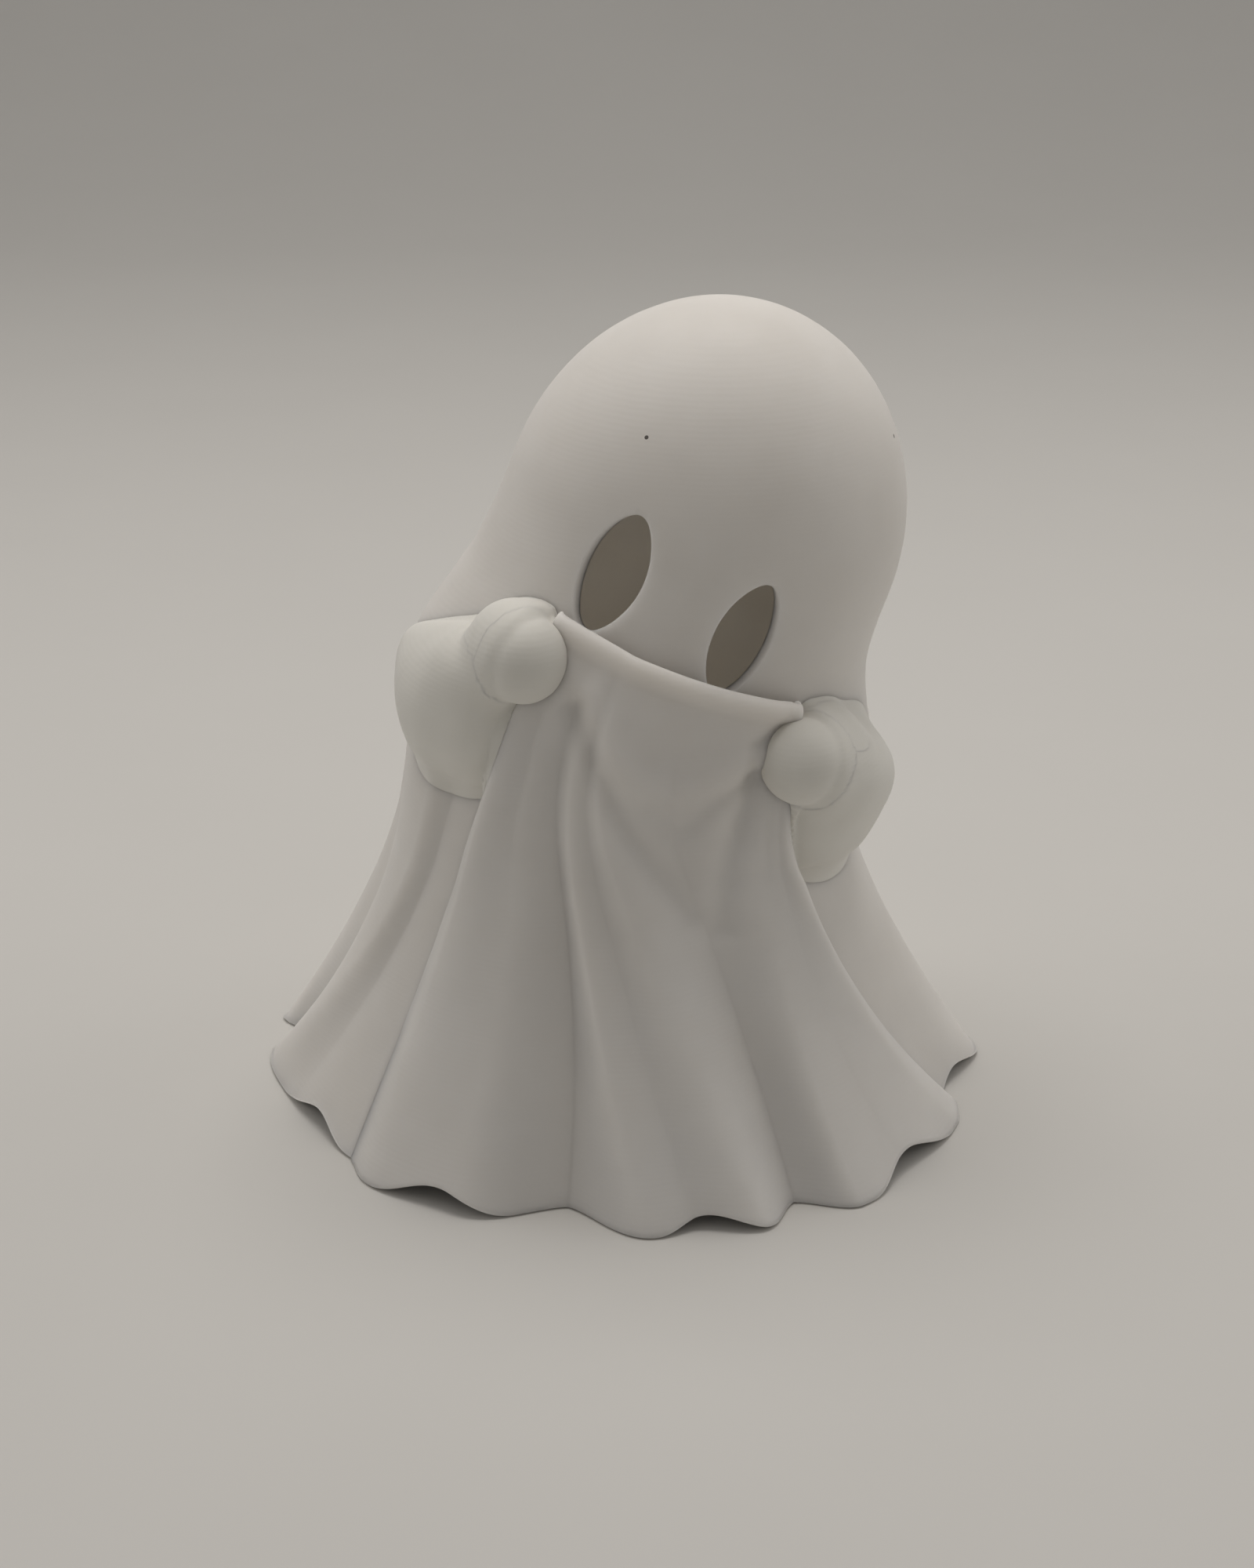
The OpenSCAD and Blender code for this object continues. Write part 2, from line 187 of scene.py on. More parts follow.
def column_angle(folds, cols, s):
    """Angle of every column at one level, or at a level of its own each."""
    angles = np.array([line_angle(f, s) for f in folds])
    return np.array([mix(angles[k], angles[k + 1], t) for k, t in cols])


def mesh_object(name, points, faces):
    mesh = bpy.data.meshes.new(name)
    mesh.from_pydata((np.asarray(points) * MM).tolist(), [], [tuple(int(i) for i in f) for f in faces])
    mesh.update()
    piece = bpy.data.objects.new(name, mesh)
    bpy.context.scene.collection.objects.link(piece)
    mesh.shade_smooth()
    return piece


ROBE_STEP = 1.15
WALL_ROWS, DOME_ROWS, INSIDE_ROWS, INNER_DOME_ROWS = 150, 44, 28, 14
DOME_TO, INNER_DOME_TO = np.radians(88), np.radians(86)
FOOT = WALL / 4
robe_columns = columns(GOWN_FOLDS, ROBE_STEP)


def robe_hem(a):
    return np.maximum(arch(a), GOWN_TUCK * ease((a - TUCK_FROM) / TUCK_SOFT)
                      * ease((TUCK_TO - a) / TUCK_SOFT))


def robe_ring(t, inset):
    """Ring of points a share t of the way from the hem up to the dome, inset from the outer face."""
    hem = robe_hem(column_angle(GOWN_FOLDS, robe_columns, 0.0))
    s = mix(hem, HEAD_LEVEL, t)
    a = np.array([mix(line_angle(GOWN_FOLDS[k], v), line_angle(GOWN_FOLDS[k + 1], v), u)
                  for (k, u), v in zip(robe_columns, s)])
    return place(a, s, robe_r(a, s) - inset)


def dome_ring(t, inset):
    """Ring of points a share t of the way up the dome of the head."""
    s = HEAD_LEVEL + (HEAD_RISE - inset) * t
    a = column_angle(GOWN_FOLDS, robe_columns, s)
    return place(a, s, body_r(s, inset) - socket(a, s))


def lip(outer, inner, count=3):
    """Round edge between two rings of points, without the rings themselves."""
    down = np.array([0, 0, -1.0])
    half = np.linalg.norm(outer - inner, axis=1, keepdims=True) / 2
    middle, out = (outer + inner) / 2, (outer - inner) / (2 * half)
    turns = np.pi * np.arange(1, count + 1) / (count + 1)
    return [middle + out * half * np.cos(b) + down * half * 0.5 * np.sin(b) for b in turns]


wall_steps = np.linspace(0, 1, WALL_ROWS + 1)
inside_steps = np.linspace(0, 1, INSIDE_ROWS + 1)
dome_steps = np.sin(DOME_TO * np.arange(1, DOME_ROWS + 1) / DOME_ROWS)
inner_dome = np.sin(INNER_DOME_TO * np.arange(1, INNER_DOME_ROWS + 1) / INNER_DOME_ROWS)
rings = [dome_ring(t, 0) for t in dome_steps[::-1]]
rings += [robe_ring(t, 0) for t in wall_steps[::-1]]
inner_rings = [robe_ring(t, WALL) for t in inside_steps] + [dome_ring(t, WALL) for t in inner_dome]
rings[-1] = rings[-1] + np.array([0, 0, FOOT])
inner_rings[0] = inner_rings[0] + np.array([0, 0, FOOT])
rings += lip(rings[-1], inner_rings[0]) + inner_rings
# n points in each of m rings, and a pole for each dome
n, m = len(robe_columns), len(rings)
points = np.concatenate(rings + [place(0, HEAD_LEVEL + HEAD_RISE, 0)[None],
                                 place(0, HEAD_LEVEL + HEAD_RISE - WALL, 0)[None]])
faces = [(i * n + j, (i + 1) * n + j, (i + 1) * n + (j + 1) % n, i * n + (j + 1) % n)
         for i in range(m - 1) for j in range(n)]
faces += [(m * n, j, (j + 1) % n) for j in range(n)]
faces += [(m * n + 1, (m - 1) * n + (j + 1) % n, (m - 1) * n + j) for j in range(n)]
robe = mesh_object("robe_shell_print", points, faces)

# Each eye opening is cut by a loft that follows the surface and flares to a soft rim:
# depth under the surface and growth of the pointed oval
RIM = [(-1.2, 0.5), (-0.4, 0.34), (0.0, 0.2), (0.1, 0.1), (0.25, 0.03), (0.5, 0.0), (4.5, 0.5)]
EYE_POINTS, OVAL_WIDE, OVAL_POINT = 120, 0.92, 0.08
cutters = []
for number, (eye_a, eye_s, half_w, half_h) in enumerate(EYES):
    b = 2 * np.pi * np.arange(EYE_POINTS) / EYE_POINTS
    loft = []
    for depth, grow in RIM:
        x = (half_w + grow) * np.sin(b) * (OVAL_WIDE - OVAL_POINT * np.cos(2 * b))
        y = (half_h + grow) * np.cos(b)
        a = eye_a + np.degrees((x * np.cos(EYE_ROLL) + y * np.sin(EYE_ROLL)) / HEAD_R)
        s = eye_s + y * np.cos(EYE_ROLL) - x * np.sin(EYE_ROLL)
        loft.append(place(a, s, robe_r(a, s) - depth))
    k = len(loft)
    ends = [ring.mean(0, keepdims=True) for ring in (loft[0], loft[-1])]
    ring_faces = [(i * EYE_POINTS + j, i * EYE_POINTS + (j + 1) % EYE_POINTS,
                   (i + 1) * EYE_POINTS + (j + 1) % EYE_POINTS, (i + 1) * EYE_POINTS + j)
                  for i in range(k - 1) for j in range(EYE_POINTS)]
    ring_faces += [(k * EYE_POINTS, (j + 1) % EYE_POINTS, j) for j in range(EYE_POINTS)]
    ring_faces += [(k * EYE_POINTS + 1, (k - 1) * EYE_POINTS + j,
                    (k - 1) * EYE_POINTS + (j + 1) % EYE_POINTS) for j in range(EYE_POINTS)]
    cutter = mesh_object("eye_cutter_%d" % number, np.concatenate(loft + ends), ring_faces)
    solid = bmesh.new()
    solid.from_mesh(cutter.data)
    bmesh.ops.recalc_face_normals(solid, faces=solid.faces)
    solid.to_mesh(cutter.data)
    solid.free()
    cutters.append(cutter)
for cutter in cutters:
    cut = robe.modifiers.new("eye", "BOOLEAN")
    cut.operation, cut.solver, cut.object = "DIFFERENCE", "EXACT", cutter


# Matte white print: warm white plastic with faint layer ripples and two small specks
# on the head, shared as a node group. Light soaks deeper into the shell than the arms.
SPECKS, SPECK_R, SPECK_COLOUR = [(-33, 88), (74, 95)], 0.25, (0.12, 0.11, 0.1, 1)
WARM_WHITES = [(0.3, (0.705, 0.67, 0.625, 1)), (0.7, (0.75, 0.715, 0.67, 1))]
ROUGHNESS = (0.5, 0.72)


def shader_node(tree, kind, **values):
    """Node with its settings and inputs, where a name with _ is an input with a space."""
    made = tree.nodes.new(kind)
    for key, value in values.items():
        if key in made.bl_rna.properties:
            setattr(made, key, value)
        else:
            made.inputs[key.replace("_", " ")].default_value = value
    return made


def print_surface():
    """Group that both whites share: colour drift, specks, roughness, layer lines and grain."""
    group = bpy.data.node_groups.new("print_surface", "ShaderNodeTree")
    for name, kind in (("Colour", "Color"), ("Roughness", "Float"), ("Normal", "Vector")):
        group.interface.new_socket(name, in_out="OUTPUT", socket_type="NodeSocket" + kind)
    group.interface.new_socket("Tone", in_out="INPUT", socket_type="NodeSocketColor")
    link = group.links.new
    given, out = group.nodes.new("NodeGroupInput"), group.nodes.new("NodeGroupOutput")
    where = shader_node(group, "ShaderNodeTexCoord")
    cloudy = shader_node(group, "ShaderNodeTexNoise", Scale=70.0, Detail=3.0)
    fine = shader_node(group, "ShaderNodeTexNoise", Scale=900.0, Detail=4.0)
    link(where.outputs["Object"], cloudy.inputs["Vector"])
    link(where.outputs["Object"], fine.inputs["Vector"])
    near = []
    for a, s in SPECKS:
        near.append(shader_node(group, "ShaderNodeVectorMath", operation="DISTANCE"))
        near[-1].inputs[1].default_value = place(a, s, robe_r(a, s)) * MM
        link(where.outputs["Object"], near[-1].inputs[0])
    nearest = shader_node(group, "ShaderNodeMath", operation="MINIMUM")
    link(near[0].outputs["Value"], nearest.inputs[0])
    link(near[1].outputs["Value"], nearest.inputs[1])
    speck = shader_node(group, "ShaderNodeMath", operation="LESS_THAN")
    speck.inputs[1].default_value = SPECK_R * MM
    link(nearest.outputs[0], speck.inputs[0])
    dark = shader_node(group, "ShaderNodeMix", data_type="RGBA")
    dark.inputs[7].default_value = SPECK_COLOUR
    link(speck.outputs[0], dark.inputs[0])
    tint = shader_node(group, "ShaderNodeValToRGB")
    for stop, (position, colour) in zip(tint.color_ramp.elements, WARM_WHITES):
        stop.position, stop.color = position, colour
    link(cloudy.outputs["Fac"], tint.inputs["Fac"])
    link(tint.outputs["Color"], dark.inputs[6])
    toned = shader_node(group, "ShaderNodeVectorMath", operation="MULTIPLY")
    link(dark.outputs[2], toned.inputs[0])
    link(given.outputs["Tone"], toned.inputs[1])
    link(toned.outputs[0], out.inputs["Colour"])
    rough = shader_node(group, "ShaderNodeMapRange")
    rough.inputs["To Min"].default_value, rough.inputs["To Max"].default_value = ROUGHNESS
    link(fine.outputs["Fac"], rough.inputs["Value"])
    link(rough.outputs["Result"], out.inputs["Roughness"])
    layers = shader_node(group, "ShaderNodeTexWave", wave_type="BANDS", bands_direction="Z",
                         Scale=520.0, Distortion=1.5, Detail=2.0)
    link(where.outputs["Object"], layers.inputs["Vector"])
    ripple = shader_node(group, "ShaderNodeBump", Strength=0.025, Distance=0.0003)
    grain = shader_node(group, "ShaderNodeBump", Strength=0.05, Distance=0.0002)
    link(layers.outputs["Fac"], ripple.inputs["Height"])
    link(fine.outputs["Fac"], grain.inputs["Height"])
    link(ripple.outputs["Normal"], grain.inputs["Normal"])
    link(grain.outputs["Normal"], out.inputs["Normal"])
    return group


def matte_white(name, surface, tone, soak):
    """White print that light enters by about soak, in metres."""
    material = bpy.data.materials.new(name)
    material.use_nodes = True
    tree = material.node_tree
    shader = tree.nodes["Principled BSDF"]
    skin = tree.nodes.new("ShaderNodeGroup")
    skin.node_tree = surface
    skin.inputs["Tone"].default_value = tone
    tree.links.new(skin.outputs["Colour"], shader.inputs["Base Color"])
    tree.links.new(skin.outputs["Roughness"], shader.inputs["Roughness"])
    tree.links.new(skin.outputs["Normal"], shader.inputs["Normal"])
    shader.inputs["Subsurface Weight"].default_value = 1.0
    shader.inputs["Subsurface Radius"].default_value = (1.0, 0.98, 0.94)
    shader.inputs["Subsurface Scale"].default_value = soak
    shader.inputs["Specular IOR Level"].default_value = 0.35
    return material


surface = print_surface()
thin_white = matte_white("matte_white_shell", surface, (1, 1, 1, 1), 0.0042)
solid_white = matte_white("matte_white_solid", surface, (0.96, 0.99, 0.99, 1), 0.0002)


# Skin of the print, in metres: patches are some layers wide, ripples are drawn out along
# the layers, and both fade out towards the foot
SKIN = {"Unevenness": 0.00007, "Ripple": 0.000025, "Layer": 0.0006, "Seed": 7.0}
PATCH_LAYERS, LAYER_STRETCH, FOOT_FADE = 8.0, (0.2, 0.2, 1), 0.004
CREASE = np.radians(50)


def printed_skin():
    """Tree that makes a surface slightly uneven, as printed layers leave it."""
    tree = bpy.data.node_groups.new("printed_skin", "GeometryNodeTree")
    tree.is_modifier = True
    tree.interface.new_socket("Geometry", in_out="OUTPUT", socket_type="NodeSocketGeometry")
    for name, kind in (("Geometry", "Geometry"), ("Unevenness", "Float"), ("Ripple", "Float"),
                       ("Layer", "Float"), ("Seed", "Float"), ("Finish", "Material")):
        tree.interface.new_socket(name, in_out="INPUT", socket_type="NodeSocket" + kind)
    given, out = tree.nodes.new("NodeGroupInput"), tree.nodes.new("NodeGroupOutput")
    link = tree.links.new

    def number(operation, *values, clamp=False):
        made = tree.nodes.new("ShaderNodeMath")
        made.operation, made.use_clamp = operation, clamp
        for value, socket_in in zip(values, made.inputs):
            if isinstance(value, (int, float)):
                socket_in.default_value = value
            else:
                link(value, socket_in)
        return made.outputs[0]

    def noise(stretch, scale):
        """Seeded noise from -1 to 1 on the position, drawn out by the stretch."""
        drawn = tree.nodes.new("ShaderNodeVectorMath")
        drawn.operation = "MULTIPLY"
        drawn.inputs[1].default_value = stretch
        link(where.outputs[0], drawn.inputs[0])
        made = tree.nodes.new("ShaderNodeTexNoise")
        made.noise_dimensions = "4D"
        made.inputs["Detail"].default_value = 1.0
        link(drawn.outputs[0], made.inputs["Vector"])
        link(given.outputs["Seed"], made.inputs["W"])
        link(scale, made.inputs["Scale"])
        return number("MULTIPLY_ADD", made.outputs["Fac"], 2.0, -1.0)

    where = tree.nodes.new("GeometryNodeInputPosition")
    level = tree.nodes.new("ShaderNodeSeparateXYZ")
    link(where.outputs[0], level.inputs[0])
    layers = number("DIVIDE", 0.5, given.outputs["Layer"])
    patches = number("DIVIDE", layers, PATCH_LAYERS)
    height = number("MULTIPLY", noise((1, 1, 1), patches), given.outputs["Unevenness"])
    ripples = noise(LAYER_STRETCH, layers)
    height = number("MULTIPLY_ADD", ripples, given.outputs["Ripple"], height)
    off_foot = number("DIVIDE", level.outputs["Z"], FOOT_FADE, clamp=True)
    height = number("MULTIPLY", height, off_foot)
    normal = tree.nodes.new("GeometryNodeInputNormal")
    shift = tree.nodes.new("ShaderNodeVectorMath")
    shift.operation = "SCALE"
    link(normal.outputs[0], shift.inputs[0])
    link(height, shift.inputs["Scale"])
    move = tree.nodes.new("GeometryNodeSetPosition")
    link(given.outputs["Geometry"], move.inputs["Geometry"])
    link(shift.outputs[0], move.inputs["Offset"])
    real = tree.nodes.new("GeometryNodeRealizeInstances")
    finish = tree.nodes.new("GeometryNodeSetMaterial")
    link(move.outputs[0], real.inputs[0])
    link(real.outputs[0], finish.inputs["Geometry"])
    link(given.outputs["Finish"], finish.inputs["Material"])
    link(finish.outputs[0], out.inputs[0])
    return tree


skin_tree = printed_skin()


def print_mesh(piece, material):
    """Plain mesh of the piece with its modifiers and the uneven skin of the print on it."""
    skin = piece.modifiers.new("printed_skin", "NODES")
    skin.node_group = skin_tree
    for item in skin_tree.interface.items_tree:
        if item.in_out == "INPUT" and item.name in SKIN:
            skin[item.identifier] = SKIN[item.name]
        elif item.name == "Finish":
            skin[item.identifier] = material
    evaluated = piece.evaluated_get(bpy.context.evaluated_depsgraph_get())
    mesh = bpy.data.meshes.new_from_object(evaluated)
    piece.modifiers.clear()
    piece.data = mesh
    return mesh


def finish_piece(piece, node_name):
    """Puts a finished piece in its node's place."""
    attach(piece, "root")
    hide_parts(node_name)


print_mesh(robe, thin_white)
finish_piece(robe, "robe_shell")
robe.data.set_sharp_from_angle(angle=CREASE)
for cutter in cutters:
    bpy.data.objects.remove(cutter)

# ---------------------------------------------------------------------------
# Front cloth: the lifted front of the sheet, a 1.3 mm skin over the gown. It
# hangs in folds from a rolled top hem that the hands hold up to the face. Its
# left edge stands proud of the gown, and its right edge dies away in a valley.

# Its fold lines, in the same form as the gown's
CLOTH_FOLDS = [
    (-53, -49, -34.5, 0.52, -0.04), (-45, -42, -32, 0.66, 0.2), (-28, -27, -26, 0.7, 0.07),
    (-10, -11.5, -19.8, -0.17, -0.06), (4.5, -5.6, -15.5, 0.7, 0.05), (12, 1.3, -13.2, 0.6, 0.03),
    (21, 8.8, -10.2, 0.88, 0.12), (29.5, 23, 6.5, 0.3, 0), (38, 34.7, 34, 0.96, 0.12),
    (50, 41, 36, 0.84, 0.16), (68, 49.2, 38.2, 0.75, 0.26), (80, 55, 41, 0.5, -0.12)]
# Smaller folds that start at the hands: height, half width, then places as angle and level
PULLS = [
    (-1.0, 1.6, [(-19, 57.2), (-13.6, 54.2), (-6.4, 49.7), (-0.3, 45.5), (8, 39.8), (15.3, 34.4)]),
    (-1.5, 1.9, [(30, 54), (27.4, 46.1), (25.6, 41.4), (23.7, 33)]),
    (0.8, 2.2, [(-17.8, 59), (-8.5, 54.3), (-0.5, 51.2), (8.9, 50.6), (17.5, 52.8), (26, 57.2)]),
    (-0.9, 1.3, [(33.5, 62), (27.1, 59), (27.6, 55)]),
    (-0.6, 1.5, [(27.5, 53.2), (22.8, 51.4), (18.5, 49), (14.4, 46.2)])]
PULL_FADE = 0.6
CLOTH_T, CLOTH_STAND, CLOTH_TOP, CLOTH_FALL = 1.3, 1.0, 66.2, 1.6
# Left edge: how proud of the gown it stands, low and high, and where that grows; then the
# widths over which the edge is round, the cloth thickens, and the right edge dies away
EDGE_PROUD, EDGE_FROM, EDGE_GROWS = (0.35, 1.3), 8, 38
EDGE_ROUND, EDGE_THICKENS, EDGE_DIES, LEAST_EDGE, FULLER = 0.9, 7, 2.5, 0.05, 0.2
# Rolled hem: half height, half thickness and its turn either way. Towards both ends, where
# the hands hold it, it sinks and thins; ROLL_ENDS and STAND_ENDS are parts of the width.
ROLL_H, ROLL_SWELL, ROLL_TURN = 1.5, 1.0, 105
ROLL_DIVE, ROLL_THIN, ROLL_ENDS, STAND_ENDS = (1.4, 1.2), 0.7, 14, 8
# The cloth's foot is rounded over a small height, and its back stays just off the gown
CLOTH_FOOT, FOOT_ROUND, OFF_GOWN, LEAST_T = 0.3, 0.05, 0.05, 0.02
CLOTH_STEP, CLOTH_ROWS, ROLL_STEPS = 0.55, 130, 14


def cloth_v(a, s):
    """Share of the way across the cloth at an angle and level, by its fold lines."""
    a, s = np.broadcast_arrays(np.asarray(a, float), np.asarray(s, float))
    angles = [line_angle(f, s) for f in CLOTH_FOLDS]
    last = len(angles) - 1
    v = (a - angles[0]) / (angles[1] - angles[0])
    for k in range(1, last):
        v = np.where(a > angles[k], k + (a - angles[k]) / (angles[k + 1] - angles[k]), v)
    return v / last


def cloth_rim(v):
    """Level of the cloth's top, which falls slowly from left to right."""
    return CLOTH_TOP - CLOTH_FALL * v


def cloth_lift(a, s, v):
    """How far the outer face of the cloth stands off the folds."""
    r = body_r(s)
    left = np.maximum(0, np.radians(a - line_angle(CLOTH_FOLDS[0], s)) * r)
    right = np.maximum(0, np.radians(line_angle(CLOTH_FOLDS[-1], s) - a) * r)
    proud = mix(*EDGE_PROUD, ease((s - EDGE_FROM) / EDGE_GROWS))
    side = np.sqrt(1 - (1 - np.clip(left / EDGE_ROUND, 0, 1)) ** 2)
    side = side * ease(right / EDGE_DIES + LEAST_EDGE)
    thick = mix(proud, CLOTH_T + FULLER, ease(left / EDGE_THICKENS))
    stand = CLOTH_STAND * ease((s - BEND_FROM) / (cloth_rim(v) - BEND_FROM))
    stand = stand * ease(np.minimum(v, 1 - v) * STAND_ENDS)
    return thick * side + stand


def pull_height(a, s):
    """Height of the small folds, each dying away towards its far end."""
    x, total = np.radians(a) * WAIST_R, 0
    for height, width, places in PULLS:
        way = np.array(places) * (np.radians(1) * WAIST_R, 1)
        far, share = np.full(np.shape(x), 1e9), np.zeros(np.shape(x))
        for i in range(len(way) - 1):
            along = way[i + 1] - way[i]
            dx, ds = x - way[i][0], s - way[i][1]
            u = np.clip((dx * along[0] + ds * along[1]) / (along @ along), 0, 1)
            d = np.hypot(dx - u * along[0], ds - u * along[1])
            share = np.where(d < far, (i + u) / (len(way) - 1), share)
            far = np.minimum(far, d)
        total = total + height * np.exp(-(far / width) ** 2) * (1 - PULL_FADE * ease(share))
    return total


def cloth_r(a, s, v):
    """Radius of the cloth's outer face."""
    return body_r(s) + fold_height(CLOTH_FOLDS, a, s) + pull_height(a, s) + cloth_lift(a, s, v)


def across(k, u, s):
    """Angle at level s of the column a share u of the way from fold line k to the next."""
    return mix(line_angle(CLOTH_FOLDS[k], s), line_angle(CLOTH_FOLDS[k + 1], s), u)


# One closed loop for each column: up the outer face, over the rolled hem, down the back
cloth_columns = columns(CLOTH_FOLDS, CLOTH_STEP) + [(len(CLOTH_FOLDS) - 2, 1.0)]
loops = []
for k, u in cloth_columns:
    v = (k + u) / (len(CLOTH_FOLDS) - 1)
    hem = float(arch(across(k, u, 0.0)))
    taper = float(ease(min(v, 1 - v) * ROLL_ENDS))
    rim = cloth_rim(v) - ROLL_H - mix(*ROLL_DIVE, v) * (1 - taper)
    s = mix(hem + CLOTH_FOOT, rim - ROLL_H, np.linspace(0, 1, CLOTH_ROWS + 1))
    a = across(k, u, s)
    outer = cloth_r(a, s, v)
    at = float(across(k, u, CLOTH_TOP))
    swell = ROLL_SWELL * mix(ROLL_THIN, 1.0, taper)
    middle = float(cloth_r(at, rim, v)) - CLOTH_T / 2
    b = np.radians(np.linspace(ROLL_TURN, -ROLL_TURN, ROLL_STEPS))
    roll = place(at, rim + ROLL_H * np.cos(b), middle + swell * np.sin(b))
    s2 = mix(hem + CLOTH_FOOT, rim - ROLL_H, np.linspace(1, 0, CLOTH_ROWS + 1))
    a2 = across(k, u, s2)
    inner = np.maximum(robe_r(a2, s2) + OFF_GOWN, cloth_r(a2, s2, v) - CLOTH_T)
    inner = np.minimum(inner, cloth_r(a2, s2, v) - LEAST_T)
    low = [place(a[0], hem + FOOT_ROUND, mix(outer[0], inner[-1], t)) for t in (0.75, 0.25)]
    loops.append(np.concatenate([place(a, s, outer), roll, place(a2, s2, inner), low]))
n, m = len(loops[0]), len(loops)
points = np.concatenate(loops)
faces = [(i * n + j, (i + 1) * n + j, (i + 1) * n + (j + 1) % n, i * n + (j + 1) % n)
         for i in range(m - 1) for j in range(n)]
# Both side edges are closed by quads between the outer face and the back
back = n - 3
for first, way in ((0, -1), ((m - 1) * n, 1)):
    ends = [(i, i + 1, back - i - 1, back - i) for i in range(CLOTH_ROWS)]
    ends += [tuple(range(CLOTH_ROWS, back - CLOTH_ROWS + 1)), (0, back, back + 1, back + 2)]
    faces += [tuple(first + i for i in end[::way]) for end in ends]
cloth = mesh_object("front_cloth_print", points, faces)
print_mesh(cloth, thin_white)
finish_piece(cloth, "front_cloth")

# ---------------------------------------------------------------------------
# Arms: each is one soft form under the sheet, made of a sleeve that swells from
# the robe, the fingers behind the hem of the cloth and a round thumb over it.
# They are modelled as one form, then parted into the three printed pieces.


def surface_net(f):
    """Closed quads round the points where f is below zero, in grid units, facing outwards."""
    inside = f < 0
    total, count = np.zeros(f.shape + (3,)), np.zeros(f.shape)
    quads = []
    for k in range(3):
        before, after = [slice(None)] * 3, [slice(None)] * 3
        before[k], after[k] = slice(0, -1), slice(1, None)
        at = np.argwhere(inside[tuple(before)] != inside[tuple(after)])
        step = np.eye(3, dtype=int)[k]
        u, v = np.eye(3, dtype=int)[(k + 1) % 3], np.eye(3, dtype=int)[(k + 2) % 3]
        f0, f1 = f[tuple(at.T)], f[tuple((at + step).T)]
        cross = at + step * (f0 / (f0 - f1))[:, None]
        cells = [at - u - v, at - v, at, at - u]
        for cell in cells:
            np.add.at(total, tuple(cell.T), cross)
            np.add.at(count, tuple(cell.T), 1)
        ring = np.stack([np.ravel_multi_index(cell.T, f.shape) for cell in cells], 1)
        outwards = inside[tuple(at.T)]
        quads.append(np.where(outwards[:, None], ring, ring[:, ::-1]))
    used = np.flatnonzero(count.ravel())
    number = np.full(f.size, -1)
    number[used] = np.arange(len(used))
    points = total.reshape(-1, 3)[used] / count.ravel()[used, None]
    return points, number[np.concatenate(quads)]


def soft_join(f, g, k):
    """Union of two forms, blended over a width k."""
    h = np.clip(0.5 + (g - f) / (2 * k), 0, 1)
    return mix(g, f, h) - k * h * (1 - h)


def under_r(a, s):
    """Outer surface that an arm lies on: the robe, or the cloth where it covers the robe."""
    v = cloth_v(a, s)
    on = (v > 0) & (v < 1) & (s < cloth_rim(v))
    w = np.clip(v, 0, 1)
    return np.maximum(robe_r(a, s), np.where(on, cloth_r(a, s, w), 0))


def lobe_field(points, centre, radii, turn):
    """Signed depth in an ellipsoid, with its first axis round the body and its third upwards."""
    ca, sa = np.cos(np.radians(centre[0])), np.sin(np.radians(centre[0]))
    tip = float(spine(centre[1])[2])
    along = np.array([ca * np.cos(tip), sa, -ca * np.sin(tip)])
    up = np.array([np.sin(tip), 0, np.cos(tip)])
    out = np.cross(along, up)
    along, up = (along * np.cos(turn) + up * np.sin(turn)), (up * np.cos(turn) - along * np.sin(turn))
    d = points - place(*centre)
    q = np.stack([d @ along / radii[0], d @ out / radii[1], d @ up / radii[2]], -1)
    size = np.linalg.norm(q, axis=-1)
    slope = np.linalg.norm(q / np.array(radii), axis=-1) / np.maximum(size, 1e-6)
    return (size - 1) / np.maximum(slope, 1e-6)


# Sleeve: slope of its top past the wrist, round of its inner edge, and the widths over
# which the cuff comes up from below and in from the top
TOP_SLOPE, WRIST, INNER_ROUND, CUFF_UP, CUFF_IN = 0.33, 2, 2.5, 0.8, 6
# Outside its outline it dives under what it lies on, at a slope for each side
DIVE_LOW, DIVE_TOP, DIVE_INNER, DIVE_OUTER, DIVE_DEPTH, DIVE_LIFT = 1.2, 8, 1.5, 0.2, 0.5, 0.02


